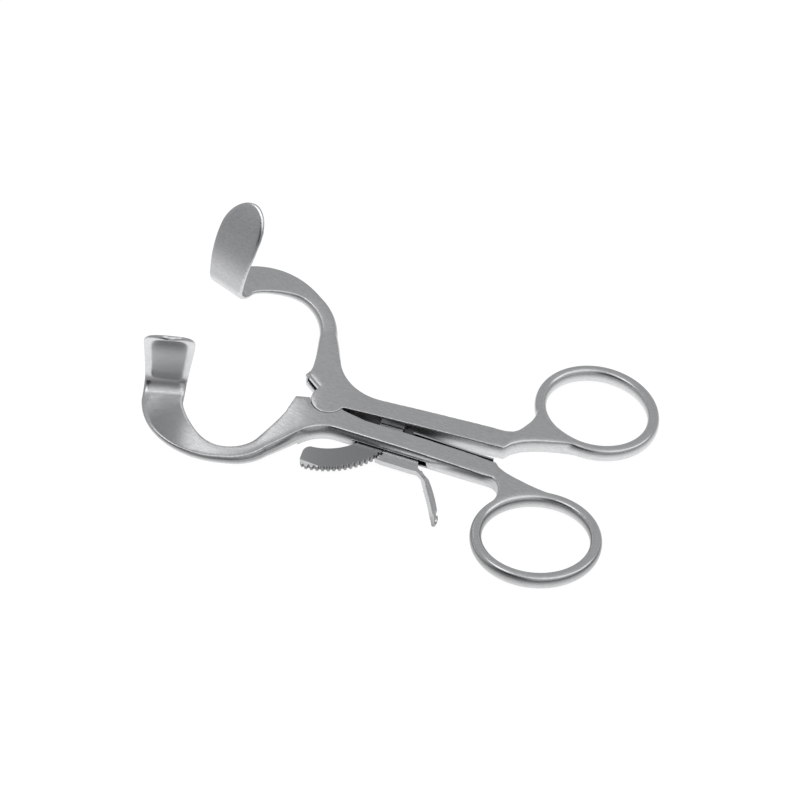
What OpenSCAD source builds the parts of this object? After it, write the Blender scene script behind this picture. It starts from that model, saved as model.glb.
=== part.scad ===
// Ring-handled ratchet mouth gag: two arms on a boxed pivot, a curved rack and a sprung pawl.
// Origin on the pivot axis at the resting plane, +X to the finger rings, +Y to the far arm, +Z up.

/* [Joint] */
// Thickness of both arms at the joint and along the shanks
arm_t = 5.4; // [5:0.1:7]
// Radius of the round cheeks and of the tongue about the pivot
cheek_r = 4.5; // [4:0.1:5.2]
// Thickness of the tongue slot between the two cheeks
slot_t = 1.8; // [1.5:0.1:2.2]
// Radius of the riveted pivot pin
pin_r = 1.5; // [1.2:0.05:1.8]
// Direction of the far arm's closing face, measured from +X
far_face_a = 145; // [138:1:150]
// Direction of the near arm's closing face, measured from +X
near_face_a = 195.3; // [190:0.1:200]
// Reach of the far closing face from the pivot
far_reach = 9.1; // [8.4:0.1:9.6]
// Reach of the near closing face from the pivot
near_reach = 8.3; // [7.6:0.1:8.8]
// Depth of the slot run-out that opens in the far closing face
runout_d = 2.4; // [1.5:0.1:3]

/* [Shanks] */
// Width of the near shank
near_w = 4.7; // [4.2:0.1:5.4]
// Distance from the pivot to the inner side of the near shank
near_gap = 3.25; // [3:0.05:3.6]
// Width of the far shank
far_w = 5.15; // [4.6:0.05:5.8]
// Distance of the far shank's inner side below the pivot line
far_drop = 1.7; // [1.4:0.1:2]
// Angle of the far shank to +X at rest
far_a = 4.3; // [3.5:0.1:6]
// Length of the shanks, pivot to neck
shank_l = 46; // [42:0.5:52]
// Taper of the arms' upper side from mid shank to the rings
shank_drop = 0.5; // [0.2:0.1:0.8]
// Radius of the fillet between the far shank's outer side and its jaw
far_crotch_r = 15; // [12:0.5:18]
// Radius of the fillet between the near shank's outer side and its jaw
near_crotch_r = 9.5; // [7:0.5:12]

/* [Finger rings] */
// Distance of the ring centres from the pivot along X
ring_x = 63; // [59:0.5:70]
// Distance of the far ring's centre from the X axis
far_ring_y = 22.9; // [21:0.1:26]
// Distance of the near ring's centre from the X axis
near_ring_y = 20.8; // [20:0.1:24]
// Long inner half axis of the finger rings
ring_a = 13.2; // [12:0.1:14.4]
// Short inner half axis of the finger rings
ring_b = 11.1; // [10:0.1:12]
// Width of the ring band
band_w = 3; // [2.4:0.1:3.6]
// Height of the ring band
band_h = 4.7; // [4.2:0.1:4.8]
// Inward turn of the ring's long axis
ring_turn = 12; // [4:0.5:16]
// Pull of the neck's outer curve along the shank
neck_pull = 16; // [12:0.5:18]

/* [Jaws] */
// Distance of the jaw bow's centre ahead of the pivot
bow_x = 21.2; // [19:0.1:24]
// Distance of the jaw bow's centre aside of the X axis
bow_y = 16; // [14.5:0.1:18]
// Radius of the jaw bow's inner side at its waist
bow_r = 10.9; // [10:0.1:12]
// Tightening of the bow's inner side from waist to fold
bow_dip = 1.2; // [0.6:0.1:1.6]
// Width of the jaw where it leaves the joint
root_w = 7.6; // [7:0.1:8.2]
// Width of the jaw at its waist
waist_w = 3.2; // [2.8:0.1:4.2]
// Bulge of the jaw's sides beyond its top face, per unit of thickness
jaw_bulge = 0.16; // [0.08:0.01:0.2]
// Thickness of the jaw at its waist
waist_t = 4.6; // [4:0.1:5]
// Width of the strip at the fold
fold_w = 10; // [9:0.1:11]
// Thickness of the strip at the fold
fold_t = 1.5; // [1.3:0.1:1.9]
// Rise of the jaw's top face from the joint to the fold
jaw_rise = 5.9; // [4.5:0.1:7]
// Turn of both jaws about the pivot away from the X axis
jaw_skew = -2; // [-3:0.5:0]

/* [Blades] */
// Bend radius of the fold, at mid thickness
fold_r = 5.1; // [4.5:0.1:5.6]
// Heading of the blade above the fold, from level
blade_rise_a = 95; // [90:1:100]
// Length of the blade's straight foot
blade_foot = 2.4; // [2:0.1:4]
// Radius of the blade's outward sweep
blade_sweep_r = 36; // [30:0.5:45]
// Heading of the blade at its tip, from level
blade_tip_a = 131; // [120:1:140]
// Greatest width of the blade
blade_w = 12.6; // [11.6:0.1:14]
// Length of the rounded tip
tip_l = 9.3; // [7:0.1:11]
// Thickness of the blade at its tip
tip_t = 1.3; // [1:0.1:1.5]
// Width of the bevel along the edges of the blade's inner face
blade_bevel = 1.6; // [0.8:0.1:2]
// Lean of the blade toward the joint, sideways per unit of height
blade_lean = 0.13; // [0:0.01:0.2]

/* [Ratchet] */
// Radius of the rack's tooth tips about the pivot
rack_out = 20.4; // [20:0.1:20.7]
// Width of the rack, tooth tips to inner side
rack_w = 6.1; // [5.6:0.1:6.6]
// Height of the ratchet's mid plane above the resting plane
mech_z = 2.15; // [2.05:0.05:2.7]
// Thickness of the rack
rack_t = 1.6; // [1.4:0.1:1.8]
// Angle of the rack's free tip at rest, below +X
rack_tip_a = 91.5; // [90:0.5:94]
// Tooth pitch of the rack in degrees
pitch_a = 4; // [4:0.5:5]
// Depth of the rack teeth
tooth_d = 0.55; // [0.45:0.05:0.65]
// Radius of the rack rivets
rack_rivet_r = 0.8; // [0.6:0.05:1]

/* [Pawl] */
// Distance of the pawl pin beyond the rack's tooth tips, along X
pawl_off = 2.5; // [2.3:0.1:2.8]
// Radius of the pawl pin
pawl_pin_r = 0.8; // [0.6:0.05:0.9]
// Thickness of the pawl in its window
pawl_t = 1.6; // [1.4:0.1:1.8]
// Turn of the pawl from riding on the tooth tips to full engagement
pawl_engage_a = 6.5; // [6.2:0.1:7.5]
// Reach of the pawl body outside the near arm
pawl_reach = 4.2; // [3.8:0.1:5]
// Length of the thumb tab along its arc
tab_l = 16; // [14:0.2:18]
// Thickness of the thumb tab at mid length
tab_t = 1.3; // [1.2:0.1:1.7]
// Height of the thumb tab
tab_h = 2.8; // [2.4:0.1:3.2]
// Direction of the thumb tab from +X where it leaves the pawl
tab_from_a = 50; // [46:1:54]
// Direction of the thumb tab from +X at its end
tab_to_a = 65; // [60:1:70]
// Lean of the thumb tab's upper edge away from its ridged side
tab_lean = 17; // [10:1:24]
// Height of the near arm's window
window_t = 2; // [1.9:0.05:2.2]

/* [Spring] */
// Thickness of the leaf spring
leaf_t = 0.5; // [0.4:0.05:0.6]
// Height of the leaf spring
leaf_h = 3.6; // [3:0.1:4.2]
// Stand-off of the leaf spring from the shank at its free end
leaf_lift = 0.55; // [0.45:0.05:0.7]
// Length of the leaf spring behind its screw
leaf_tail = 2.7; // [2.2:0.1:4]
// Radius of the spring screw's head
leaf_head_r = 1.3; // [1:0.1:1.5]
// Height of the spring screw's head
leaf_head_h = 0.8; // [0.6:0.1:1]

/* [Fits] */
// Clearance between sliding faces of the joint
slide_c = 0.1; // [0.06:0.01:0.15]
// Running clearance of a pin in a bore, on the radius
pin_c = 0.03; // [0.02:0.01:0.06]
// Clearance of the rack and the pawl in the window
window_c = 0.3; // [0.25:0.05:0.4]
// Clearance between the pawl teeth and the rack
mesh_c = 0.1; // [0.08:0.01:0.12]

/* [Hidden] */
$fn = 96;
steel = [0.74, 0.75, 0.76];
mid_z = arm_t / 2;
ring_z = (arm_t - shank_drop) / 2;
rack_in = rack_out - rack_w;
pawl_x = rack_out + pawl_off;
cut = 1;

// Plan points and small helpers
function dir(a) = [cos(a), sin(a)];
function turn(p, a) = [p.x * cos(a) - p.y * sin(a), p.x * sin(a) + p.y * cos(a)];
function flip(p) = [p.x, -p.y];
function mix(a, b, t) = a + (b - a) * t;
function meet(p, u, q, v) = p + u * ((q - p) * [v.y, -v.x]) / (u * [v.y, -v.x]);

// Jaw stations: [x, y, top rise, width, thickness, direction across the strip, share of the bulge]
bow_start = 19;
bow_end = 157;
blade_a = 162.5;
bow_steps = 60;
root_steps = 14;
widen_from = 62;
widen_run = 90;
dip_from = 70;
dip_run = 60;
bow_open = 0.6;
jaw_sink = 0.03;
root_bulge = 0.15;
root_a = 17;
root_p = [-bow_x + bow_r + 5.95, bow_y / 2 - 0.1];
function bow_s(a) = (a - bow_start) / (bow_end - bow_start);
function ease(t) = t * t * (3 - 2 * t);
function clamp(t) = min(max(t, 0), 1);
function bow_inner(a) = bow_r - bow_dip * ease(clamp((a - dip_from) / dip_run)) + bow_open * pow(bow_s(a), 8);
function bow_radius(a) = bow_inner(a) + bow_width(a) / 2;
function bow_point(a) = [-bow_x, bow_y] + bow_radius(a) * dir(a);
function bow_rise(a) = jaw_rise * pow(a / bow_end, 1.4);
function bow_width(a) = waist_w + (fold_w - waist_w) * ease(clamp((a - widen_from) / widen_run));
function bow_thick(a) = fold_t + (waist_t - fold_t) * pow(1 - bow_s(a), 1.5);

// The root runs from the joint to the bow on one cubic curve
root_v = dir(root_a + 90) * 12;
bow_v = dir(bow_start + 96) * 12;
bow_p0 = bow_point(bow_start);
function hermite(p, u, q, v, t) =
  p * (1 - t) * (1 - t) * (1 + 2 * t) + u * t * (1 - t) * (1 - t)
  + q * t * t * (3 - 2 * t) - v * t * t * (1 - t);
function root_station(t) =
  let (p = hermite(root_p, root_v, bow_p0, bow_v, t))
  [p.x, p.y, bow_rise(bow_start) * t * t - jaw_sink * (1 - t),
   mix(root_w, bow_width(bow_start), t),
   mix(arm_t - 2 * jaw_sink, waist_t, ease(t)), mix(root_a, bow_start + 4, t), mix(root_bulge, 1, ease(t))];
function bow_station(a) =
  let (p = bow_point(a))
  [p.x, p.y, bow_rise(a), bow_width(a), bow_thick(a),
   a + 4 * (1 - bow_s(a)) + (blade_a - bow_end) * ease(clamp(2 * bow_s(a) - 1)), 1];
heel_p = root_p - root_v * 0.24;
heel_station = [heel_p.x, heel_p.y, -jaw_sink, root_w * 0.7, arm_t - 2 * jaw_sink, root_a, root_bulge];

// Blade stations: [along, up, heading, width, thickness]
fold_len = fold_r * blade_rise_a * PI / 180;
sweep_len = blade_sweep_r * (blade_tip_a - blade_rise_a) * PI / 180;
blade_len = fold_len + blade_foot + sweep_len;
blade_steps = 52;
tip_end = 0.985;
function blade_heading(s) =
  s < fold_len ? s / fold_r * 180 / PI
  : s < fold_len + blade_foot ? blade_rise_a
  : blade_rise_a + (s - fold_len - blade_foot) / blade_sweep_r * 180 / PI;
function blade_uz(s) =
  s <= fold_len
  ? let (a = blade_heading(s)) fold_r * [sin(a), 1 - cos(a)]
  : s <= fold_len + blade_foot
  ? blade_uz(fold_len) + (s - fold_len) * dir(blade_rise_a)
  : let (a = blade_heading(s))
    blade_uz(fold_len + blade_foot)
    + blade_sweep_r * [sin(a) - sin(blade_rise_a), cos(blade_rise_a) - cos(a)];
function blade_width(s) =
  let (k = min(s / (blade_len - tip_l), 1), e = max(s - blade_len + tip_l, 0) / tip_l)
  mix(fold_w, blade_w, ease(k)) * sqrt(1 - e * e);
function blade_s(i) =
  let (t = i / blade_steps * tip_end)
  t < 0.6 ? t / 0.6 * (blade_len - tip_l) : blade_len - tip_l + tip_l * sin((t - 0.6) / 0.4 * 90);
fold_p = bow_point(bow_end);
fold_z = arm_t + jaw_rise - fold_t / 2;
across = dir(blade_a);
ahead = dir(blade_a + 90);

// A ring of points round one section: centre, across and up directions, width of its top, thickness, bulge, bevel
side_up = [-1, -0.72, -0.25, 0.3, 0.72, 0.93, 1];
side_out = [-1.1, 0.45, 1, 0.85, 0.4, 0, -0.5];
side_n = len(side_up) - 1;
edge_up = 0.28;
bevel_most = 0.16;
function bevel_in(i) = pow(max(side_up[i] - edge_up, 0) / (1 - edge_up), 1.5);
function section(c, x, y, w, t, bulge, bevel) =
  let (out = [for (i = [0:side_n]) w / 2 + side_out[i] * bulge * t - bevel_in(i) * min(bevel, bevel_most * w)])
  concat(
    [for (i = [0:side_n]) c + x * out[i] + y * (side_up[i] * t / 2)],
    [for (i = [side_n:-1:0]) c - x * out[i] + y * (side_up[i] * t / 2)]
  );

// A ring of points round a flattened oval section
oval_n = 16;
oval_p = 0.88;
function bent(v) = sign(v) * pow(abs(v), oval_p);
function oval_section(c, x, y, w, t) = [for (k = [0:oval_n - 1])
  let (a = k * 360 / oval_n)
  c + x * w / 2 * bent(cos(a)) + y * t / 2 * bent(sin(a))];

// A ring of points round a plate section with full round edges, its left side pushed out
corner_n = 3;
edge_round = 0.42;
function round_section(c, x, y, w, t, push) =
  let (r = edge_round * min(t, w))
  [for (q = [0:3]) for (k = [0:corner_n])
    let (
      a = q * 90 + k * 90 / corner_n - 90,
      sx = q < 2 ? 1 : -1,
      sy = q == 1 || q == 2 ? 1 : -1
    )
    c + x * (sx * (w / 2 - r) + r * cos(a) - (sx < 0 ? push : 0)) + y * (sy * (t / 2 - r) + r * sin(a))];
function flat_ring(s) =
  section(
    [s[0], s[1], arm_t + s[2] - s[4] / 2], [cos(s[5]), sin(s[5]), 0], [0, 0, 1], s[3], s[4], jaw_bulge * s[6], 0
  );
function blade_ring(s) =
  let (
    uz = blade_uz(s),
    h = blade_heading(s),
    p = fold_p + ahead * uz.x - across * blade_lean * uz.y
  )
  section(
    [p.x, p.y, fold_z + uz.y],
    [across.x, across.y, 0],
    [-ahead.x * sin(h), -ahead.y * sin(h), cos(h)],
    blade_width(s),
    mix(fold_t, tip_t, s / blade_len),
    jaw_bulge * min(1, blade_width(s) / fold_w),
    blade_bevel * ease(clamp(s / fold_len))
  );
jaw_rings = concat(
  [flat_ring(heel_station)],
  [for (i = [0:root_steps - 1]) flat_ring(root_station(i / root_steps))],
  [for (i = [0:bow_steps - 1]) flat_ring(bow_station(mix(bow_start, bow_end, i / bow_steps)))],
  [for (i = [0:blade_steps]) blade_ring(blade_s(i))]
);

// Skin a list of equal rings into one solid, capped at its ends or joined into a loop
module skin(rings, loop = false) {
  n = len(rings[0]);
  m = len(rings);
  sides = [for (i = [0:m - (loop ? 1 : 2)]) for (k = [0:n - 1])
    let (j = (i + 1) % m, l = (k + 1) % n)
    each [[i * n + k, i * n + l, j * n + k], [i * n + l, j * n + l, j * n + k]]];
  ends = loop ? [] : [[for (k = [n - 1:-1:0]) k], [for (k = [0:n - 1]) (m - 1) * n + k]];
  polyhedron(points = [for (r = rings) each r], faces = concat(sides, ends));
}

// Jaw bow, fold and blade of the far side
module jaw() {
  rotate([0, 0, jaw_skew]) skin(jaw_rings);
}

// Near jaw: the far one mirrored, then turned by the same skew
module near_jaw() {
  rotate([0, 0, jaw_skew]) mirror([0, 1, 0]) skin(jaw_rings);
}

// Oval finger ring at a distance from the X axis, on the far side, swept round its mid line
ring_steps = 80;
mid_a = ring_a + band_w / 2;
mid_b = ring_b + band_w / 2;
function band_point(t, out, ring_y) =
  [ring_x, ring_y] + turn([(ring_a + out) * cos(t), (ring_b + out) * sin(t)], -ring_turn);
function band_way(t) = turn([-sin(t), cos(t) * mid_b / mid_a], -ring_turn);
function ring_ring(t, ring_y) =
  let (
    c = band_point(t, band_w / 2, ring_y),
    n = turn([cos(t) / mid_a, sin(t) / mid_b], -ring_turn),
    u = n / norm(n)
  )
  oval_section([c.x, c.y, ring_z], [u.x, u.y, 0], [0, 0, 1], band_w, band_h);
module finger_ring(ring_y) {
  skin([for (i = [0:ring_steps - 1]) ring_ring(i * 360 / ring_steps, ring_y)], true);
}

// Neck from a shank's outer side round its ring's mid line to the shank's inner corner, for the far side
neck_from = 208;
neck_to = 294;
neck_n = 8;
neck_run = 6;
neck_sweep = 2;
neck_out = 0.56;
ring_pull = 13;
function neck(outer, u, inner, ring_y) =
  let (
    p = band_point(neck_from, band_w / 2, ring_y),
    q = band_point(neck_to, band_w * neck_out, ring_y),
    rise = [neck_run, (q.y - inner.y) * neck_sweep]
  )
  concat(
    [for (i = [0:neck_n]) hermite(outer, u * neck_pull, p, -band_way(neck_from) * ring_pull, i / neck_n)],
    [for (i = [1:neck_n - 1]) band_point(mix(neck_from, neck_to, i / neck_n), band_w / 2, ring_y)],
    [for (i = [neck_n:-1:0]) hermite(inner, rise, q, band_way(neck_to) * ring_pull * 1.5, i / neck_n)]
  );

// Joint block, shank and neck of an arm as one outline, less the fillet at its jaw
neck_back = 1;
flank_a = 117;
jaw_out = root_p + dir(root_a) * root_w / 2;
jaw_in = root_p - dir(root_a) * root_w / 2;
root_lap = [0.05, 0.03];
module arm_plan(face, skew, crotch_r, out_p, out_a, inner, step, ring_y) {
  u = dir(out_a);
  n = dir(out_a + 90);
  flank_n = dir(flank_a + skew - 90);
  flank_p = turn(jaw_out, skew) + flank_n * crotch_r;
  fillet = meet(out_p + n * crotch_r, u, flank_p, dir(flank_a + skew));
  outer = out_p + u * (shank_l - neck_back);
  difference() {
    polygon(concat(
      [face * 0.3, face, turn(jaw_in + root_v * root_lap[0], skew), turn(root_p + root_v * root_lap[1], skew)],
      [fillet - flank_n * crotch_r, fillet - n * crotch_r],
      neck(outer, u, inner, ring_y),
      step
    ));
    translate(fillet) circle(crotch_r);
  }
}

// Plan of the far arm
far_u = dir(far_a);
far_n = dir(far_a + 90);
far_in = far_n * -far_drop;
module far_plan() {
  arm_plan(
    dir(far_face_a) * far_reach, jaw_skew, far_crotch_r, far_n * (far_w - far_drop), far_a,
    far_in + far_u * shank_l, [far_in], far_ring_y
  );
}

// Plan of the near arm, drawn on the far side and mirrored where it is used
near_out = near_gap + near_w;
near_step = [cheek_r * 1.05, near_gap * 0.66];
near_shoulder = cheek_r * 2.5;
module near_plan() {
  arm_plan(
    dir(360 - near_face_a) * near_reach, -jaw_skew, near_crotch_r, [0, near_out], 0, [shank_l, near_gap],
    [[near_shoulder, near_gap], near_step, near_step * 0.4], near_ring_y
  );
}

// Wedge that tapers the upper side of an arm from mid shank to its ring
taper_x = shank_l / 2;
taper_a = atan2(shank_drop, ring_x - ring_a - taper_x);
module taper() {
  translate([taper_x, -ring_x, arm_t]) rotate([0, taper_a, 0]) cube([ring_x, 2 * ring_x, arm_t]);
}

// Foot of the far closing face, that stands out below its chamfered upper lip
toe_run = 2;
toe_lip = 0.3;
toe_h = mid_z + slot_t / 2 + toe_lip;
module far_toe() {
  linear_extrude(toe_h) {
    polygon([
      dir(far_face_a) * far_reach * 0.6, dir(far_face_a) * (far_reach + toe_run),
      turn(jaw_in, jaw_skew) + [-0.5, 1.5], turn(root_p, jaw_skew)
    ]);
  }
}

// Slot of the tongue between the far cheeks
slot_z = mid_z - slot_t / 2;
face_chamfer = 0.7;
module pin_hole(x, y, r) {
  translate([x, y, -cut]) cylinder(r = r, h = arm_t + 2 * cut);
}

// Toothed outline of the rack in plan, grown by a clearance
tooth_top = 0.5;
gullet_base = 0.35;
tooth_first = 16;
tooth_n = floor((rack_tip_a - 3 - tooth_first) / pitch_a);
tip_round = 2;
module gullets(grow) {
  for (i = [0:tooth_n - 1]) {
    rotate([0, 0, -tooth_first - (i + 0.5) * pitch_a]) {
      polygon([
        [rack_out - tooth_d + grow, -gullet_base / 2 + grow / 2],
        [rack_out + cut, -(pitch_a * PI / 180 * rack_out - tooth_top) / 2 + grow / 2 - cut * 0.5],
        [rack_out + cut, (pitch_a * PI / 180 * rack_out - tooth_top) / 2 - grow / 2 + cut * 0.5],
        [rack_out - tooth_d + grow, gullet_base / 2 - grow / 2]
      ]);
    }
  }
}
rack_root_a = 10;
bevel_r = rack_out - 1.4;
bevel_turn = -4;
bevel_a = 30;
module sector(r1, r2, from, to) {
  steps = ceil((to - from) / 3);
  polygon(concat(
    [for (i = [0:steps]) r2 * dir(mix(from, to, i / steps))],
    [for (i = [steps:-1:0]) r1 * dir(mix(from, to, i / steps))]
  ));
}
tip_at = 8;
tip_steps = 6;
tip_over = 1.06;
function tip_corner(r, from) = [for (i = [0:tip_steps])
  turn([r, 0] + tip_round * tip_over * dir(from - i * 90 / tip_steps), tip_at - rack_tip_a)];
module rack_plan() {
  steps = ceil((rack_tip_a + rack_root_a) / 3);
  difference() {
    intersection() {
      difference() {
        circle(rack_out);
        circle(rack_in);
      }
      polygon(concat(
        [for (i = [0:steps]) (rack_out + 2 * cut) * dir(mix(rack_root_a, tip_at - rack_tip_a, i / steps))],
        tip_corner(rack_out - tip_round, 0),
        tip_corner(rack_in + tip_round, -90),
        [for (i = [0:steps]) (rack_in - 2 * cut) * dir(mix(tip_at - rack_tip_a, rack_root_a, i / steps))]
      ));
    }
    gullets(0);
  }
}
rack_z = mech_z - rack_t / 2;
rivet_a = 5;
rivet_rs = [rack_in + 1.9, rack_out - 1.8];
module rack_holes(r) {
  for (d = rivet_rs) {
    pin_hole(d * cos(rivet_a), d * sin(rivet_a), r);
  }
}

// Pocket of the rack in the far arm, on the same radii
module rack_pocket() {
  translate([0, 0, rack_z]) linear_extrude(rack_t) {
    difference() {
      intersection() {
        circle(rack_out);
        sector(rack_in - 2 * cut, rack_out + 2 * cut, -2 * rack_root_a, rack_root_a);
      }
      circle(rack_in);
    }
  }
}

// Pawl outline in plan, riding on the tooth tips, clear of the rack short of the angle heel_a; its teeth are the rack's, cut at full engagement
pawl_p = [pawl_x, -near_gap - near_w * 0.58];
boss_r = 1.9;
heel_a = 23.5;
pawl_side = -near_out - pawl_reach;
tab_p = [pawl_x + 7.3, pawl_side - 0.5];
tab_n = dir(90 - tab_from_a);
neck_t = 1;
tail_w = 1.6;
tail_gap = 0.1;
tail_p = [pawl_x + 1.7, -near_gap + leaf_lift - tail_gap];
module pawl_blank() {
  translate(pawl_p) circle(boss_r);
  polygon([
    pawl_p + [-boss_r, 0.2], pawl_p + [-boss_r * 2.3, -boss_r * 1.2], [pawl_x - 6.6, pawl_side + 0.4],
    [pawl_x - 4.2, pawl_side], [pawl_x + 3.4, pawl_side], [pawl_x + 5.4, pawl_side + 0.15],
    tab_p - tab_n * neck_t * 0.45, tab_p + tab_n * neck_t * 0.45,
    [pawl_x + 5.4, -near_out - 2.9], [pawl_x + 4.5, -near_out - 0.6], pawl_p + [boss_r, -0.4]
  ]);
  polygon([
    pawl_p + [boss_r - 0.1, -0.6], tail_p + [tail_w / 2, 0], tail_p - [tail_w / 2, 0], pawl_p + [-0.4, boss_r - 0.1]
  ]);
}
module pawl_turn(a) {
  translate(pawl_p) rotate(a) translate(-pawl_p) children();
}
module pawl_plan() {
  difference() {
    pawl_blank();
    pawl_turn(pawl_engage_a) {
      difference() {
        circle(rack_out + mesh_c);
        gullets(mesh_c);
      }
    }
    sector(rack_in, rack_out + window_c, -heel_a, rack_root_a);
  }
}

// Thumb tab: the plate drawn out on an arc and stood on edge, leaning, ridged on its jaw side
pawl_z = mech_z - pawl_t / 2;
tab_back = 1.6;
tab_rise_run = 4.5;
tab_sink = 0.02;
tab_step = 0.4;
tab_end_l = 1.2;
tab_r = tab_l * 180 / PI / (tab_to_a - tab_from_a);
ridge_from = 3.5;
ridge_to = 13;
ridge_d = 0.18;
notch_at = 0.78;
notch_l = 1.5;
notch_d = 0.8;
function tab_way(s) = -tab_from_a - s / tab_r * 180 / PI;
function tab_point(s) =
  let (a = tab_way(s))
  tab_p - tab_r * [sin(a) + sin(tab_from_a), cos(tab_from_a) - cos(a)];
function tab_ridge(i, s) = i % 2 == 0 && s > ridge_from && s < ridge_to ? ridge_d : 0;
function tab_ring(i, s) =
  let (
    c = tab_point(s),
    n = dir(tab_way(s) + 90),
    k = ease(clamp((s + tab_back) / tab_rise_run)),
    e = max(s - tab_l + tab_end_l, 0) / tab_end_l,
    full = sqrt(1 - e * e * 0.9),
    lean = tab_lean * k,
    h = mix(pawl_t * 0.9, tab_h, k)
  )
  round_section(
    [c.x, c.y, mech_z + (h / 2 - tab_sink - pawl_t / 2) * k],
    [n.x, n.y, 0],
    [n.x * sin(lean), n.y * sin(lean), cos(lean)],
    mix(neck_t, tab_t, sin(clamp(s / tab_l) * 180)) * full,
    h * full,
    tab_ridge(i, s)
  );
tab_n_rings = floor((tab_l + tab_back) / tab_step);
module thumb_tab() {
  difference() {
    skin([for (i = [tab_n_rings:-1:0]) tab_ring(i, mix(-tab_back, tab_l, i / tab_n_rings))]);
    translate(concat(tab_point(tab_l * notch_at), [mech_z])) rotate([0, 0, tab_way(tab_l * notch_at)]) {
      rotate([-tab_lean, 0, 0]) translate([0, tab_t / 2 - notch_d, -tab_h]) cube([notch_l, tab_t, 3 * tab_h]);
    }
  }
}

// Window of the near arm for the rack and the pawl, in plan
window_z = mech_z - window_t / 2;
window_end = pawl_x + 7;
module window_plan() {
  polygon([
    [rack_in * 0.62, -near_out - cut], [window_end, -near_out - cut],
    [window_end, -near_out + 0.5], [pawl_x + 3.2, -near_gap + cut],
    [rack_in * 0.9, -near_gap + cut], [rack_in * 0.8, -near_gap - near_w / 2]
  ]);
}

// Leaf spring line from its screw to the pawl's tail, at the inner side of the near shank
leaf_end_c = 0.8;
leaf_end = shank_l - leaf_end_c;
leaf_screw_x = leaf_end - leaf_tail;
leaf_seat = leaf_screw_x - leaf_head_r - 0.9;
leaf_tip_x = pawl_x + 0.9;
leaf_z = mid_z - leaf_h / 2;
screw_r = 0.75;
screw_l = 2.6;
module leaf_plan() {
  polygon([
    [leaf_end, -near_gap], [leaf_end, -near_gap + leaf_t], [leaf_seat, -near_gap + leaf_t],
    [leaf_tip_x, -near_gap + leaf_t + leaf_lift], [leaf_tip_x, -near_gap + leaf_lift], [leaf_seat, -near_gap]
  ]);
}

module near_arm() {
  color(steel) difference() {
    union() {
      difference() {
        union() {
          linear_extrude(arm_t) mirror([0, 1, 0]) near_plan();
          mirror([0, 1, 0]) finger_ring(near_ring_y);
          near_jaw();
        }
        translate([0, 0, -cut]) cylinder(r = cheek_r + slide_c, h = slot_z + slide_c / 2 + cut);
        translate([0, 0, arm_t - slot_z - slide_c / 2]) {
          cylinder(r = cheek_r + slide_c, h = slot_z + slide_c / 2 + cut);
        }
      }
      translate([0, 0, slot_z + slide_c / 2]) cylinder(r = cheek_r, h = slot_t - slide_c);
    }
    pin_hole(0, 0, pin_r + pin_c);
    taper();
    translate([0, 0, window_z]) linear_extrude(window_t) window_plan();
    pin_hole(pawl_p.x, pawl_p.y, pawl_pin_r);
    translate([leaf_screw_x, -near_gap + cut, mid_z]) rotate([90, 0, 0]) cylinder(r = screw_r, h = screw_l + cut);
  }
}

module far_arm() {
  color(steel) difference() {
    union() {
      linear_extrude(arm_t) far_plan();
      far_toe();
      cylinder(r = cheek_r, h = arm_t);
      finger_ring(far_ring_y);
      jaw();
    }
    translate([0, 0, slot_z]) cylinder(r = cheek_r + slide_c, h = slot_t);
    translate([0, 0, slot_z]) rotate([0, 0, far_face_a]) {
      translate([0, -runout_d, 0]) cube([far_reach + toe_run - 0.7, runout_d + cut, slot_t]);
    }
    translate([0, 0, arm_t]) rotate([0, 0, far_face_a]) {
      translate([cheek_r + slide_c, 0, 0]) rotate([45, 0, 0]) {
        translate([0, -face_chamfer / 2, -face_chamfer / 2]) cube([far_reach, face_chamfer, face_chamfer]);
      }
    }
    pin_hole(0, 0, pin_r);
    taper();
    rack_pocket();
    rack_holes(rack_rivet_r);
  }
}

module pivot_pin() {
  color(steel) cylinder(r = pin_r, h = arm_t);
}

module ratchet_rack() {
  color(steel) difference() {
    translate([0, 0, rack_z]) linear_extrude(rack_t) rack_plan();
    translate([0, -bevel_r, rack_z + rack_t]) rotate([0, 0, bevel_turn]) rotate([bevel_a, 0, 0]) {
      translate([-rack_in / 2, -rack_w, 0]) cube([rack_in * 1.5, rack_w, rack_t]);
    }
    rack_holes(rack_rivet_r);
  }
}

module rack_rivets() {
  color(steel) for (d = rivet_rs) {
    translate([d * cos(rivet_a), d * sin(rivet_a), 0]) cylinder(r = rack_rivet_r, h = arm_t);
  }
}

module release_pawl() {
  color(steel) difference() {
    union() {
      translate([0, 0, pawl_z]) linear_extrude(pawl_t) pawl_plan();
      thumb_tab();
    }
    pin_hole(pawl_p.x, pawl_p.y, pawl_pin_r + pin_c);
  }
}

module pawl_pin() {
  color(steel) translate([pawl_p.x, pawl_p.y, 0]) cylinder(r = pawl_pin_r, h = arm_t);
}

module leaf_spring() {
  color(steel) difference() {
    translate([0, 0, leaf_z]) linear_extrude(leaf_h) leaf_plan();
    translate([leaf_screw_x, 0, mid_z]) rotate([90, 0, 0]) cylinder(r = screw_r, h = near_out);
  }
}

module spring_screw() {
  color(steel) translate([leaf_screw_x, -near_gap + leaf_t, mid_z]) {
    rotate([90, 0, 0]) cylinder(r = screw_r, h = screw_l + leaf_t);
    rotate([-90, 0, 0]) cylinder(r = leaf_head_r, h = leaf_head_h);
  }
}

near_arm();
far_arm();
pivot_pin();
ratchet_rack();
rack_rivets();
release_pawl();
pawl_pin();
leaf_spring();
spring_screw();
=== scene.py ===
# %% [markdown]
# # A ratchet mouth gag in satin stainless steel
# The real object is a surgical spreader. Two forged arms turn on a boxed rivet, a curved rack runs from
# one arm through a window in the other, and a sprung pawl catches its teeth. The CAD model already has
# every piece at its true size, so this lesson loads it as a fixed frame and gives it its looks: soft
# polished edges, satin grain, a pale table and a plain studio to reflect.

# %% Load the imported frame
import math

import bpy
from mathutils import Matrix, Vector

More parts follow.
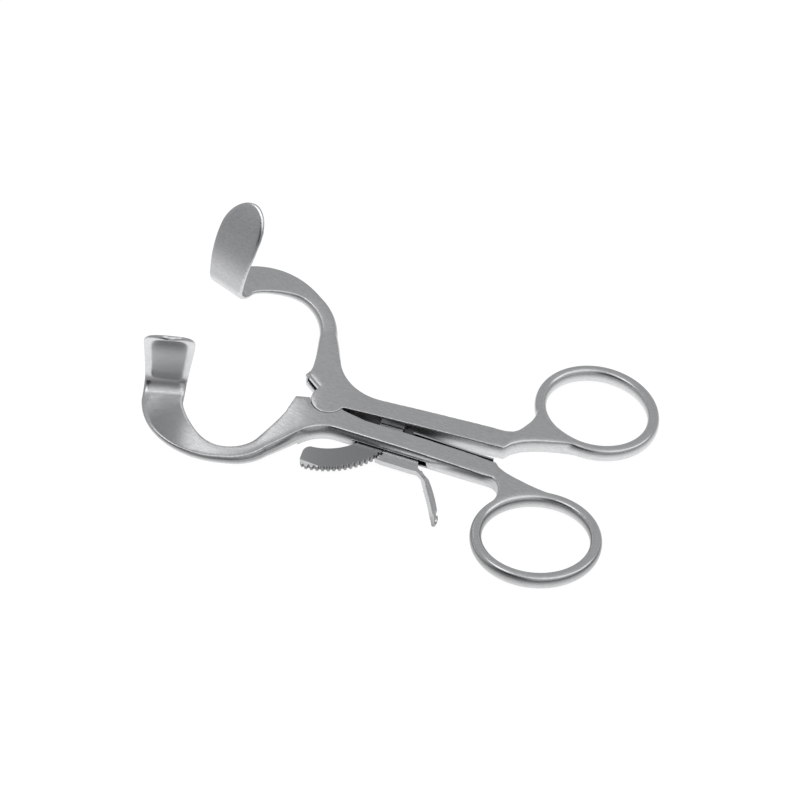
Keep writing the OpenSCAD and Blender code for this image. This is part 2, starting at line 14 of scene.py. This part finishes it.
MM = 0.001
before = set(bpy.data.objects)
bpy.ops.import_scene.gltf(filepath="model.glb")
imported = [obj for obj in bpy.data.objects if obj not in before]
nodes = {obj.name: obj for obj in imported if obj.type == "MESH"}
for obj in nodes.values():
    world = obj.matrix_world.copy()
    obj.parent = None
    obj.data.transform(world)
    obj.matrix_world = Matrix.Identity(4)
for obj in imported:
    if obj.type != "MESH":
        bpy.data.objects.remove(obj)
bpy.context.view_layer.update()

# %% [markdown]
# ## Three small helpers
# Colours are written as sRGB hex values, the way a paint chart or a photo gives them, and the renderer
# wants linear light. One function does that for every colour. Another adds a shader node, sets it up and
# links it, so a material reads from top to bottom as a list of what is done to the surface. The third turns
# two places in millimetres into the settings of a gradual change from one to the other.

# %% Helpers for colours and nodes
SMOOTH = {"interpolation_type": "SMOOTHSTEP"}


def linear(hex_colour):
    """An sRGB hex colour as linear red, green, blue and alpha."""
    parts = [int(hex_colour[i:i + 2], 16) / 255 for i in (1, 3, 5)]
    return [c / 12.92 if c <= 0.04045 else ((c + 0.055) / 1.055) ** 2.4 for c in parts] + [1.0]


def add(tree, kind, inputs=None, **settings):
    """Adds a node, sets its properties, and fills its sockets with values or with other nodes' outputs."""
    node = tree.nodes.new(kind)
    for name, value in settings.items():
        setattr(node, name, value)
    for key, value in (inputs or {}).items():
        if isinstance(value, bpy.types.NodeSocket):
            tree.links.new(value, node.inputs[key])
        else:
            node.inputs[key].default_value = value
    return node


def between(start, end, scale=MM):
    """Where a change starts and where it is complete, as settings for a node that maps a range."""
    return {"From Min": start * scale, "From Max": end * scale}


print("white is", linear("#FFFFFF"))

# %% [markdown]
# ## The camera
# The photo was taken with a long lens from the near side, well above the table. The direction and the
# distance below were worked out from points of the object whose places are known, such as the pivot and
# the finger rings, so that the render can be laid over the photo.

# %% Camera at the photo's viewpoint
VIEW_AZIMUTH, VIEW_ELEVATION = 21.9, 49.0
VIEW_DISTANCE = 875 * MM
FRAME_RIGHT_MM, FRAME_DOWN_MM = 17.775, 0.4
LENS_MM, SENSOR_MM = 157.5, 36.0
PIVOT_TOP = Vector((0, 0, 5.4 * MM))
a, e = math.radians(VIEW_AZIMUTH), math.radians(VIEW_ELEVATION)
back = Vector((math.sin(a) * math.cos(e), -math.cos(a) * math.cos(e), math.sin(e)))
right = Vector((math.cos(a), math.sin(a), 0))
up = back.cross(right)
camera = bpy.data.objects.new("camera", bpy.data.cameras.new("camera"))
bpy.context.scene.collection.objects.link(camera)
camera.data.lens, camera.data.sensor_width = LENS_MM, SENSOR_MM
camera.data.clip_start, camera.data.clip_end = 0.01, 50
camera.matrix_world = Matrix((right, up, back)).transposed().to_4x4()
camera.location = PIVOT_TOP + right * FRAME_RIGHT_MM * MM - up * FRAME_DOWN_MM * MM + back * VIEW_DISTANCE
bpy.context.scene.camera = camera
bpy.context.scene.view_settings.view_transform = "Standard"
print("camera at", [round(v, 3) for v in camera.location])

# %% [markdown]
# ## The table
# Bare steel has no colour of its own to speak of: it shows the room, so the room is made first, from the
# table up. The undersides of rounded edges show a white table. It is one flat round sheet, a hair below
# the object so that no two faces share a plane, and wide enough to have no edge in any view.

# %% Sheet of the table
TABLE_RADIUS, TABLE_SIDES = 4.0, 64
TABLE_DROP = 0.02 * MM
turns = [i * math.tau / TABLE_SIDES for i in range(TABLE_SIDES)]
rim = [Vector((math.cos(t), math.sin(t), 0)) * TABLE_RADIUS for t in turns]
table_mesh = bpy.data.meshes.new("opal_table")
table_mesh.from_pydata(rim, [], [list(range(TABLE_SIDES))])
table = bpy.data.objects.new("opal_table", table_mesh)
table.location.z = -TABLE_DROP
bpy.context.scene.collection.objects.link(table)
print("table radius", TABLE_RADIUS, "m")

# %% [markdown]
# ## Opal acrylic, lit from below
# A plain white floor would turn every upright side of the steel white, where the photo has a slow fade
# from dark to white. An opal sheet lit from below gives that fade: it shines straight up, and less and less
# towards the horizon. Layer Weight tells how flat a reflection meets the sheet, and the glow follows it. In
# front of the near arm the fall-off is steeper than elsewhere.
#
# Two places are painted for reflections only. The handles almost touch and keep each other dark, so the strip
# of table between them is dimmed as painted shade, and round the thumb tab, which is lit from all sides, the
# sheet is made lighter as painted light. To the camera the sheet is white all over, and a little matt
# reflection on top keeps the object's shadow.

# %% Material of the table
GLOW_BEHIND = (0.2, 0.68, 0.95, 0.27)  # from and to which slant, and the glow at each
GLOW_IN_FRONT = (0.06, 0.66, 0.84, 0.05)
FRONT_ZONE_MM = ("Y", -5, -14), ("X", -35, -5)  # each along an axis, from nothing to full
TAB_ZONE_MM = ("X", 13, 17), ("X", 35, 31), ("Y", -60, -50), ("Y", -10, -13)
HANDLE_ZONE_MM = ("X", 6, 9), ("X", 34, 26), ("Y", -6, -4.5), ("Y", 6, 4)
TAB_GLOW, HANDLE_GLOW = 0.8, 0.12
opal = bpy.data.materials.new("opal_acrylic_lit_from_below")
opal.use_nodes = True
tree = opal.node_tree
tree.nodes.clear()
spot = add(tree, "ShaderNodeSeparateXYZ", {0: add(tree, "ShaderNodeTexCoord").outputs["Object"]})


def zone(*ramps_mm):
    """A share from 0 to 1 for a place on the table: the product of smooth ramps along X and Y."""
    share = 1.0
    for axis, start, full in ramps_mm:
        step = add(tree, "ShaderNodeMapRange", {"Value": spot.outputs[axis], **between(start, full)},
                   **SMOOTH)
        share = add(tree, "ShaderNodeMath", {0: step.outputs[0], 1: share}, operation="MULTIPLY").outputs[0]
    return share


slant = add(tree, "ShaderNodeLayerWeight", {"Blend": 0.5})
glows = []
for steep, flat, most, least in (GLOW_BEHIND, GLOW_IN_FRONT):
    fall = add(tree, "ShaderNodeMapRange", {"Value": slant.outputs["Facing"], **between(steep, flat, scale=1),
                                            "To Min": most, "To Max": least})
    glows.append(fall.outputs[0])
glow = add(tree, "ShaderNodeMix", {"Factor": zone(*FRONT_ZONE_MM), "A": glows[0], "B": glows[1]})
# Painted light: the reflected table is made lighter round the thumb tab
glow = add(tree, "ShaderNodeMix", {"Factor": zone(*TAB_ZONE_MM), "A": glow.outputs[0], "B": TAB_GLOW})
# Painted shade: the reflected table is dimmed in the strip between the handles
painted_handle_shade = add(tree, "ShaderNodeMapRange", {"Value": zone(*HANDLE_ZONE_MM), "To Min": 1.0,
                                            "To Max": HANDLE_GLOW})
path = add(tree, "ShaderNodeLightPath")
mirrored = add(tree, "ShaderNodeMath", {0: path.outputs["Is Glossy Ray"],
                                        1: path.outputs["Is Transmission Ray"]}, operation="MAXIMUM")
for share in (glow, painted_handle_shade):
    mirrored = add(tree, "ShaderNodeMath", {0: mirrored.outputs[0], 1: share.outputs[0]},
                   operation="MULTIPLY")
seen = add(tree, "ShaderNodeMath", {0: path.outputs["Is Camera Ray"], 1: mirrored.outputs[0]},
           operation="MAXIMUM")
shine = add(tree, "ShaderNodeEmission", {"Color": linear("#F8F8F8"), "Strength": seen.outputs[0]})
matt = add(tree, "ShaderNodeBsdfDiffuse", {"Color": linear("#747474")})
lit = add(tree, "ShaderNodeAddShader", {0: shine.outputs[0], 1: matt.outputs[0]})
add(tree, "ShaderNodeOutputMaterial", {"Surface": lit.outputs[0]})
table_mesh.materials.append(opal)
print("table material:", opal.name, "with", len(tree.nodes), "nodes")

# %% [markdown]
# ## The room
# Satin steel blurs what it mirrors, so the room needs no detail, only its light and dark places. A picture
# of a studio could be wrapped round the scene, but a few numbers are easier to change. A colour ramp from
# the horizon to the zenith gives grey walls and a grey ceiling, which is what the level faces show. Three
# round patches with soft edges lie over it: a wide grey one on the left, a dark one low on the left, for
# the unlit side of the studio, and a white one high on the right. To the camera the room is plain white.

# %% Room around the table
CEILING = [(0.0, "#B6B7B8"), (0.5, "#A9AAAB"), (0.76, "#A8A9AA"), (0.90, "#B2B3B4"), (1.0, "#BCBDBE")]
PATCHES = [  # turn and height in degrees, full up to and gone at, and the colour
    (-75, 10, 35, 65, "#A6A7A9"),
    (-39, 9, 16, 34, "#2C2C2E"),
    (28, 54, 17, 34, "#FCFCFC"),
]
world = bpy.data.worlds.new("studio")
bpy.context.scene.world = world
world.use_nodes = True
tree = world.node_tree
tree.nodes.clear()
look = add(tree, "ShaderNodeTexCoord").outputs["Generated"]
height = add(tree, "ShaderNodeSeparateXYZ", {0: look}).outputs["Z"]
ceiling = add(tree, "ShaderNodeValToRGB", {"Fac": height})
ramp = ceiling.color_ramp
while len(ramp.elements) < len(CEILING):
    ramp.elements.new(0.5)
for element, (where, colour) in zip(ramp.elements, CEILING):
    element.position, element.color = where, linear(colour)


def outward(turn_deg, tilt_deg):
    """A direction into the room: a turn to the right of the photo's viewpoint, and a height above level."""
    turned, tilt = a + math.radians(turn_deg), math.radians(tilt_deg)
    return Vector((math.sin(turned) * math.cos(tilt), -math.cos(turned) * math.cos(tilt), math.sin(tilt)))


room = ceiling.outputs[0]
for turn_deg, tilt_deg, full_deg, gone_deg, colour in PATCHES:
    close = add(tree, "ShaderNodeVectorMath", {0: look, 1: outward(turn_deg, tilt_deg)},
                operation="DOT_PRODUCT")
    gone, full = math.cos(math.radians(gone_deg)), math.cos(math.radians(full_deg))
    share = add(tree, "ShaderNodeMapRange", {"Value": close.outputs["Value"], **between(gone, full, scale=1)},
                **SMOOTH)
    over = add(tree, "ShaderNodeMix", {"Factor": share.outputs[0], "A": room, "B": linear(colour)},
               data_type="RGBA")
    room = over.outputs["Result"]
path = add(tree, "ShaderNodeLightPath")
studio = add(tree, "ShaderNodeBackground", {"Color": room, "Strength": 1.0})
blank = add(tree, "ShaderNodeBackground", {"Color": linear("#FFFFFF"), "Strength": 1.0})
shown = add(tree, "ShaderNodeMixShader", {0: path.outputs["Is Camera Ray"], 1: studio.outputs[0],
                                          2: blank.outputs[0]})
add(tree, "ShaderNodeOutputWorld", {"Surface": shown.outputs[0]})
print("room:", len(CEILING), "steps from the horizon to the zenith,", len(PATCHES), "patches")

# %% [markdown]
# ## Soft boxes
# Two large soft boxes, left and right, give the soft highlights and the faint shadow. In the photo the jaws
# are lighter than the shanks. One more lamp far away would light both, because from there they lie close
# together. So two small weak lamps hang 50 mm above the jaws instead, where the shanks hardly mirror them.


# %% Lamps
def soft_box(name, turn_deg, tilt_deg, over_mm, away_mm, size_mm, watts):
    """A square lamp that faces a place on the table from a turn, a height and a distance."""
    data = bpy.data.lights.new(name, "AREA")
    data.shape, data.size, data.energy = "SQUARE", size_mm * MM, watts
    lamp = bpy.data.objects.new(name, data)
    way = outward(turn_deg, tilt_deg)
    lamp.location = (way * away_mm + Vector((*over_mm, 0))) * MM
    lamp.visible_camera = False
    lamp.rotation_euler = way.to_track_quat("Z", "Y").to_euler()
    bpy.context.scene.collection.objects.link(lamp)
    return lamp


lamps = [
    soft_box("left_soft_box", -65, 56, over_mm=(0, 0), away_mm=1200, size_mm=560, watts=1.2),
    soft_box("right_soft_box", 75, 34, over_mm=(0, 0), away_mm=1200, size_mm=600, watts=0.9),
    soft_box("jaw_lamp", 0, 90, over_mm=(-27, 2), away_mm=50, size_mm=20, watts=0.0009),
    soft_box("root_lamp", 0, 90, over_mm=(-30, 24), away_mm=50, size_mm=18, watts=0.0008),
]
print("lamps:", [lamp.name for lamp in lamps])

# %% [markdown]
# ## Satin stainless steel
# The instrument is martensitic stainless steel, ground and then satin-finished with a fine abrasive, so
# that it doesn't dazzle under theatre lamps. To the eye that is a soft grey sheen with short fine strokes
# in it. A fully metallic surface of low to middling roughness gives the sheen, and a noise drawn out along
# the stroke gives the grain, in colour, roughness and a faint bump. Real strokes are a few hundredths of a
# millimetre wide, too fine to show in the render, so they are drawn 0.4 mm wide. A second, broad noise
# keeps large faces from looking even.
#
# Where pieces meet, little light gets in, so the colour is darkened there as painted shade. Ambient occlusion
# finds those places.

# %% A satin steel material
STROKE_MM, BROAD_MM = (1.3, 0.4, 0.4), (25 / 3, 6.25, 6.25)
FINE_SHARE, BROAD_SHARE, GRAIN_LIFT = 0.8, 0.2, 0.1
GRAIN_LOW, GRAIN_HIGH = 0.3, 0.9
ROUGHNESS_SPREAD = 0.03
STROKE_RELIEF, STROKE_DEPTH_MM = 0.16, 0.004
# Painted shade: how far ambient occlusion looks, and how dark it makes the colour in crevices
PAINTED_SHADE_REACH_MM, PAINTED_SHADE_SAMPLES = 4.0, 8
PAINTED_SHADE_SHUT, PAINTED_SHADE_OPEN, PAINTED_SHADE_TONE = 0.1, 0.45, 0.08
# Painted light on the near jaw: where it starts and where it is complete, along the arm
JAW_LIGHT_RAMP_MM = 10, -12


def satin_steel(name, colour, roughness, turn_deg=0.0, grain=0.10, painted_jaw_light=None):
    """Satin metal with strokes turned about the upright axis.

    Given a second colour, the colour goes over to it on the jaw side of the pivot: painted light that makes
    the jaw lighter.
    """
    material = bpy.data.materials.new(name)
    material.use_nodes = True
    tree = material.node_tree
    tree.nodes.clear()
    place = add(tree, "ShaderNodeTexCoord").outputs["Object"]
    strokes = add(tree, "ShaderNodeMapping", {"Vector": place, "Rotation": (0, 0, math.radians(turn_deg)),
                                              "Scale": [1 / (s * MM) for s in STROKE_MM]})
    fine = add(tree, "ShaderNodeTexNoise", {"Vector": strokes.outputs[0], "Scale": 1.0, "Detail": 3.0,
                                            "Roughness": 0.6})
    clouds = add(tree, "ShaderNodeMapping", {"Vector": place, "Scale": [1 / (s * MM) for s in BROAD_MM]})
    broad = add(tree, "ShaderNodeTexNoise", {"Vector": clouds.outputs[0], "Scale": 1.0, "Detail": 2.0})
    mixed = add(tree, "ShaderNodeMath", {0: fine.outputs[0], 1: FINE_SHARE, 2: GRAIN_LIFT},
                operation="MULTIPLY_ADD")
    mixed = add(tree, "ShaderNodeMath", {0: broad.outputs[0], 1: BROAD_SHARE, 2: mixed.outputs[0]},
                operation="MULTIPLY_ADD")
    brushed = {"Value": mixed.outputs[0], **between(GRAIN_LOW, GRAIN_HIGH, scale=1)}
    shade = add(tree, "ShaderNodeMapRange", {**brushed, "To Min": 1 - grain, "To Max": 1.0})
    matt = add(tree, "ShaderNodeMapRange", {**brushed, "To Min": roughness + ROUGHNESS_SPREAD,
                                            "To Max": roughness - ROUGHNESS_SPREAD})
    along = add(tree, "ShaderNodeSeparateXYZ", {0: place}).outputs["X"]
    # Painted light: the colour goes lighter towards the jaw
    jaw_side = add(tree, "ShaderNodeMapRange", {"Value": along, **between(*JAW_LIGHT_RAMP_MM)}, **SMOOTH)
    tone = add(tree, "ShaderNodeMix", {"Factor": jaw_side.outputs[0], "A": linear(colour),
                                       "B": linear(painted_jaw_light or colour)}, data_type="RGBA")
    # Painted shade: ambient occlusion darkens the colour in crevices and between pieces
    openness = add(tree, "ShaderNodeAmbientOcclusion", {"Distance": PAINTED_SHADE_REACH_MM * MM}, samples=PAINTED_SHADE_SAMPLES)
    crevice_painted_shade = add(tree, "ShaderNodeMapRange", {
        "Value": openness.outputs["AO"], **between(PAINTED_SHADE_SHUT, PAINTED_SHADE_OPEN, scale=1),
        "To Min": PAINTED_SHADE_TONE, "To Max": 1.0})
    for dark in (shade, crevice_painted_shade):
        tone = add(tree, "ShaderNodeMix", {"Factor": 1.0, "A": tone.outputs["Result"], "B": dark.outputs[0]},
                   data_type="RGBA", blend_type="MULTIPLY")
    relief = add(tree, "ShaderNodeBump", {"Height": fine.outputs[0], "Strength": STROKE_RELIEF,
                                          "Distance": STROKE_DEPTH_MM * MM})
    steel = add(tree, "ShaderNodeBsdfPrincipled", {
        "Base Color": tone.outputs["Result"], "Metallic": 1.0, "Roughness": matt.outputs[0],
        "Normal": relief.outputs[0]})
    add(tree, "ShaderNodeOutputMaterial", {"Surface": steel.outputs[0]})
    return material


print("strokes", STROKE_MM, "mm, crevices up to", PAINTED_SHADE_REACH_MM, "mm")

# %% [markdown]
# ## Five finishes
# All pieces are bare steel, and apart from the painted light on the near jaw, only their making sets them
# apart. The forgings and the pawl are brushed light grey at a slant across the handles. The near arm is the
# same, with painted light that turns its colour lighter towards its jaw. The rack is a ground plate, left
# darker and duller. The leaf spring is rolled strip, smooth and with little grain. The pins are ground flush
# together with the arms, so they take the arms' finish.

# %% Finishes of the pieces
BRUSHED = {"colour": "#EDEEEF", "roughness": 0.25, "turn_deg": 35, "grain": 0.28}
arm_steel = satin_steel("stainless_steel_satin_brushed", **BRUSHED)
# Painted light: the near arm's colour goes over to white towards its jaw
jaw_steel = satin_steel("stainless_steel_satin_painted_jaw_light", **BRUSHED, painted_jaw_light="#FFFFFF")
plate_steel = satin_steel("stainless_steel_ground_plate", "#B2B3B4", 0.30)
strip_steel = satin_steel("spring_steel_rolled_strip", "#E0E1E2", 0.28)
pin_steel = satin_steel("stainless_steel_ground_flush", **BRUSHED)
print("materials:", [m.name for m in (arm_steel, jaw_steel, plate_steel, strip_steel, pin_steel)])

# %% [markdown]
# ## Flush pins
# The arms are drop forgings. Their pins are peened and ground flush until they can hardly be seen, while
# the CAD arms have open holes with a fine gap round each pin. Modelling the arms anew would lose their true
# shape, so a stack of modifiers finishes them. The first one joins the pins into the arm. Each pin is made
# a hair wider than its hole first, so that no rim is left. The CAD meshes come in loose triangles, so they
# are merged before the join.

# %% Node tree that joins the pins
PIN_WIDEN_MM = 0.15
PIN_SHIFT_MM = {"pivot_pin": (0.03, 0.0), "rack_rivets": (0.0, -0.06), "pawl_pin": (0.0, -0.06)}  # up, out
MERGE_M = 1e-7


def geometry_tree(name):
    """An empty geometry node tree with one mesh in and one mesh out."""
    tree = bpy.data.node_groups.new(name, "GeometryNodeTree")
    tree.interface.new_socket("Mesh", in_out="INPUT", socket_type="NodeSocketGeometry")
    tree.interface.new_socket("Mesh", in_out="OUTPUT", socket_type="NodeSocketGeometry")
    return tree, add(tree, "NodeGroupInput").outputs[0]


def flush_pins(name, pins):
    """Joins an arm's pins into it, wider than their holes and with their own small shift taken back."""
    tree, mesh = geometry_tree(name)
    normal = add(tree, "GeometryNodeInputNormal")
    closed = add(tree, "GeometryNodeMergeByDistance", {"Geometry": mesh, "Distance": MERGE_M})
    joined = add(tree, "GeometryNodeMeshBoolean", {1: closed.outputs[0]}, operation="UNION",
                 solver="MANIFOLD")
    for pin in pins:
        up_mm, out_mm = PIN_SHIFT_MM[pin]
        source = add(tree, "GeometryNodeObjectInfo", {"Object": nodes[pin]})
        widen = add(tree, "ShaderNodeVectorMath", {
            0: normal.outputs[0], 1: (PIN_WIDEN_MM * MM, PIN_WIDEN_MM * MM, -out_mm * MM),
            2: (0, 0, -up_mm * MM)}, operation="MULTIPLY_ADD")
        wider = add(tree, "GeometryNodeSetPosition", {"Geometry": source.outputs["Geometry"],
                                                      "Offset": widen.outputs[0]})
        tree.links.new(wider.outputs[0], joined.inputs[1])
    add(tree, "NodeGroupOutput", {0: joined.outputs[0]})
    return tree


pin_trees = {
    "near_arm": flush_pins("near_flush_pins", ["pawl_pin"]),
    "far_arm": flush_pins("far_flush_pins", ["rack_rivets", "pivot_pin"]),
}
print("pins joined into", list(pin_trees))

# %% [markdown]
# ## Polished edges
# A polishing wheel rounds every edge by about the same amount, but it reaches some places better than
# others: the joint and the shanks stay crisp, the jaws and the blades come out softer, and the necks and
# the rings are round. A bevel needs clean edges, which the joined arm doesn't have. So the arm is remeshed
# finely, and its points are then blurred, with a weight for each place. Where the jaw roots lie level, a
# strong weight also takes out their small waves.

# %% Node tree that polishes the edges
POLISH_STEPS = 40
POLISH_JAWS, POLISH_SHANKS, POLISH_RINGS, POLISH_ROOTS, POLISH_BLADES = 0.017, 0.0077, 0.25, 1.0, 0.10
JAW_END_X_MM = (-14, -9)
RING_START_X_MM = (41, 47)
BLADE_START_Z_MM = (9, 15)
ROOT_ENDS_X_MM = (-24, -20), (-2, -5)
LEVEL_FROM, LEVEL_TO = 0.88, 0.96


def polished(name):
    """Rounds the edges of an arm by a blur of its points, with a weight for each place."""
    tree, mesh = geometry_tree(name)
    place = add(tree, "GeometryNodeInputPosition").outputs[0]
    spot = add(tree, "ShaderNodeSeparateXYZ", {0: place}).outputs
    jaws = add(tree, "ShaderNodeMapRange", {"Value": spot["X"], **between(*JAW_END_X_MM),
                                            "To Min": POLISH_JAWS, "To Max": POLISH_SHANKS})
    rings = add(tree, "ShaderNodeMapRange", {"Value": spot["X"], **between(*RING_START_X_MM),
                                             "To Max": POLISH_RINGS})
    blades = add(tree, "ShaderNodeMapRange", {"Value": spot["Z"], **between(*BLADE_START_Z_MM),
                                              "To Max": POLISH_BLADES})
    normal = add(tree, "GeometryNodeInputNormal").outputs[0]
    upright = add(tree, "ShaderNodeSeparateXYZ", {0: normal}).outputs["Z"]
    level = add(tree, "ShaderNodeMapRange", {"Value": upright, **between(LEVEL_FROM, LEVEL_TO, scale=1)})
    for ends in ROOT_ENDS_X_MM:
        at_root = add(tree, "ShaderNodeMapRange", {"Value": spot["X"], **between(*ends)})
        level = add(tree, "ShaderNodeMath", {0: level.outputs[0], 1: at_root.outputs[0]},
                    operation="MULTIPLY")
    weight = jaws
    for more in (rings, blades):
        weight = add(tree, "ShaderNodeMath", {0: weight.outputs[0], 1: more.outputs[0]}, operation="ADD")
    weight = add(tree, "ShaderNodeMath", {0: level.outputs[0], 1: POLISH_ROOTS, 2: weight.outputs[0]},
                 operation="MULTIPLY_ADD")
    soft = add(tree, "GeometryNodeBlurAttribute", {"Value": place, "Iterations": POLISH_STEPS,
                                                   "Weight": weight.outputs[0]}, data_type="FLOAT_VECTOR")
    moved = add(tree, "GeometryNodeSetPosition", {"Geometry": mesh, "Position": soft.outputs[0]})
    add(tree, "NodeGroupOutput", {0: moved.outputs[0]})
    return tree


polish = polished("polished_edges")
print("polish:", POLISH_STEPS, "steps, weights from", POLISH_SHANKS, "to", POLISH_ROOTS)

# %% [markdown]
# ## Swollen sides
# A forging die gives the shanks sides that swell out at mid height and come back in below, and in the photo
# they catch the white table as a soft band. The CAD shanks have upright sides. A last step pushes the sides
# outwards by a share that depends on the height, most in the middle and nothing at the top and bottom. The
# swelling fades out along the shank before the joint and the rings, and it differs for the side that faces
# the near edge of the table and the other one, where the arms need their room to close.

# %% Node tree that swells the shanks
ARM_T_MM = 5.4
SIDE_TURN = 0.3
BESIDE_FULL_MM, BESIDE_GONE_MM = 10, 14


def swollen_sides(name, near_mm, far_mm, start_mm, full_mm, end_mm, gone_mm):
    """Pushes the sides of a shank out: near_mm where they face the near side, far_mm where the far one."""
    tree, mesh = geometry_tree(name)
    normal = add(tree, "GeometryNodeInputNormal").outputs[0]
    place = add(tree, "GeometryNodeInputPosition").outputs[0]
    spot = add(tree, "ShaderNodeSeparateXYZ", {0: place}).outputs
    facing = add(tree, "ShaderNodeSeparateXYZ", {0: normal}).outputs["Y"]
    level = add(tree, "ShaderNodeMapRange", {"Value": spot["Z"], **between(0.0, ARM_T_MM), "To Min": -1.0,
                                             "To Max": 1.0})
    bow = add(tree, "ShaderNodeMath", {0: level.outputs[0], 1: level.outputs[0]}, operation="MULTIPLY")
    bow = add(tree, "ShaderNodeMath", {0: 1.0, 1: bow.outputs[0]}, operation="SUBTRACT")
    rise = add(tree, "ShaderNodeMapRange", {"Value": spot["X"], **between(start_mm, full_mm)}, **SMOOTH)
    fade = add(tree, "ShaderNodeMapRange", {"Value": spot["X"], **between(end_mm, gone_mm), "To Min": 1.0,
                                            "To Max": 0.0}, **SMOOTH)
    beside = add(tree, "ShaderNodeMath", {0: spot["Y"]}, operation="ABSOLUTE")
    inside = add(tree, "ShaderNodeMapRange", {
        "Value": beside.outputs[0], **between(BESIDE_FULL_MM, BESIDE_GONE_MM), "To Min": 1.0, "To Max": 0.0},
        **SMOOTH)
    swell = add(tree, "ShaderNodeMapRange", {"Value": facing, **between(-SIDE_TURN, SIDE_TURN, scale=1),
                                             "To Min": near_mm * MM, "To Max": far_mm * MM})
    for share in (bow, rise, fade, inside):
        swell = add(tree, "ShaderNodeMath", {0: swell.outputs[0], 1: share.outputs[0]}, operation="MULTIPLY")
    sideways = add(tree, "ShaderNodeVectorMath", {0: normal, 1: (1.0, 1.0, 0.0)}, operation="MULTIPLY")
    push = add(tree, "ShaderNodeVectorMath", {0: sideways.outputs[0], "Scale": swell.outputs[0]},
               operation="SCALE")
    moved = add(tree, "GeometryNodeSetPosition", {"Geometry": mesh, "Offset": push.outputs[0]})
    add(tree, "NodeGroupOutput", {0: moved.outputs[0]})
    return tree


side_trees = {
    "near_arm": swollen_sides("near_swollen_sides", near_mm=0.85, far_mm=0.0, start_mm=-8, full_mm=0,
                              end_mm=44, gone_mm=48),
    "far_arm": swollen_sides("far_swollen_sides", near_mm=0.42, far_mm=0.7, start_mm=12, full_mm=22,
                             end_mm=54, gone_mm=64),
}
print("sides swollen on", list(side_trees))

# %% [markdown]
# ## The leaf spring's edge
# The leaf spring is a thin strip along the inner side of the near shank. In the photo its upper edge stands
# almost as high as the shank, with a fine dark line between them. The CAD strip is lower and lies against
# the shank, so a small node tree lifts the upper edge and draws the seat side off the shank by a hair.

# %% Node tree for the leaf spring
LEAF_UPPER_SHARE = 0.75


def edge_up(name, up_mm, off_mm):
    """Lifts the upper edge of the leaf spring, and draws its seat side off the shank."""
    tree, mesh = geometry_tree(name)
    closed = add(tree, "GeometryNodeMergeByDistance", {"Geometry": mesh, "Distance": MERGE_M})
    place = add(tree, "GeometryNodeInputPosition").outputs[0]
    height = add(tree, "ShaderNodeSeparateXYZ", {0: place}).outputs["Z"]
    upper = add(tree, "ShaderNodeMath", {0: height, 1: ARM_T_MM * LEAF_UPPER_SHARE * MM},
                operation="GREATER_THAN")
    normal = add(tree, "GeometryNodeInputNormal").outputs[0]
    facing = add(tree, "ShaderNodeSeparateXYZ", {0: normal}).outputs["Y"]
    seat = add(tree, "ShaderNodeMath", {0: facing, 1: 0.0}, operation="LESS_THAN")
    which = add(tree, "ShaderNodeCombineXYZ", {"Y": seat.outputs[0], "Z": upper.outputs[0]})
    by = add(tree, "ShaderNodeVectorMath", {0: which.outputs[0], 1: (0.0, off_mm * MM, up_mm * MM)},
             operation="MULTIPLY")
    moved = add(tree, "GeometryNodeSetPosition", {"Geometry": closed.outputs[0], "Offset": by.outputs[0]})
    add(tree, "NodeGroupOutput", {0: moved.outputs[0]})
    return tree


leaf_edge = edge_up("leaf_edge_up", up_mm=0.7, off_mm=0.12)
print("leaf spring:", leaf_edge.name)

# %% [markdown]
# ## Dressing the CAD nodes
# Each CAD node keeps its mesh and its place, and gets a material and modifiers. The arms take the whole
# stack: joined pins, a fine voxel remesh for one skin, polish, swollen sides. The rack and the pawl are cut
# from plate, so a small bevel breaks their edges. The pins still exist as pieces of their own, inside the
# arms' skin, and are shifted by a hair so that the two skins don't lie in one another.

# %% Materials and modifiers on the CAD nodes
ARM_VOXEL_MM = 0.16
PLATE_EDGE_MM, PLATE_EDGE_STEPS, PLATE_EDGE_DEG = 0.08, 2, 35


def dress(name, material):
    """Gives a CAD node its material."""
    node = nodes[name]
    node.data.materials.clear()
    node.data.materials.append(material)
    return node


def close_up(node):
    """Merges the loose triangles of a CAD node, which the modifiers after it need."""
    node.modifiers.new("closed", "WELD").merge_threshold = MERGE_M


def shift(node, direction, by_mm):
    """Moves the skin of a pin by a hair, upwards or inwards."""
    hair = node.modifiers.new("hair_" + direction.lower(), "DISPLACE")
    hair.direction, hair.strength, hair.mid_level = direction, by_mm * MM, 0.0


for name, material in (("near_arm", jaw_steel), ("far_arm", arm_steel)):
    arm = dress(name, material)
    arm.modifiers.new("flush_pins", "NODES").node_group = pin_trees[name]
    skin = arm.modifiers.new("forged_skin", "REMESH")
    skin.mode, skin.voxel_size, skin.use_smooth_shade = "VOXEL", ARM_VOXEL_MM * MM, True
    arm.modifiers.new("polish", "NODES").node_group = polish
    arm.modifiers.new("swollen_sides", "NODES").node_group = side_trees[name]
for name, material in (("ratchet_rack", plate_steel), ("release_pawl", arm_steel)):
    plate = dress(name, material)
    close_up(plate)
    edge = plate.modifiers.new("edge", "BEVEL")
    edge.width, edge.segments = PLATE_EDGE_MM * MM, PLATE_EDGE_STEPS
    edge.limit_method, edge.angle_limit = "ANGLE", math.radians(PLATE_EDGE_DEG)
for name, (up_mm, out_mm) in PIN_SHIFT_MM.items():
    pin = dress(name, pin_steel)
    close_up(pin)
    shift(pin, "Z", up_mm)
    shift(pin, "NORMAL", out_mm)
dress("spring_screw", pin_steel)
dress("leaf_spring", strip_steel).modifiers.new("edge_up", "NODES").node_group = leaf_edge
print("dressed", len(nodes), "nodes")
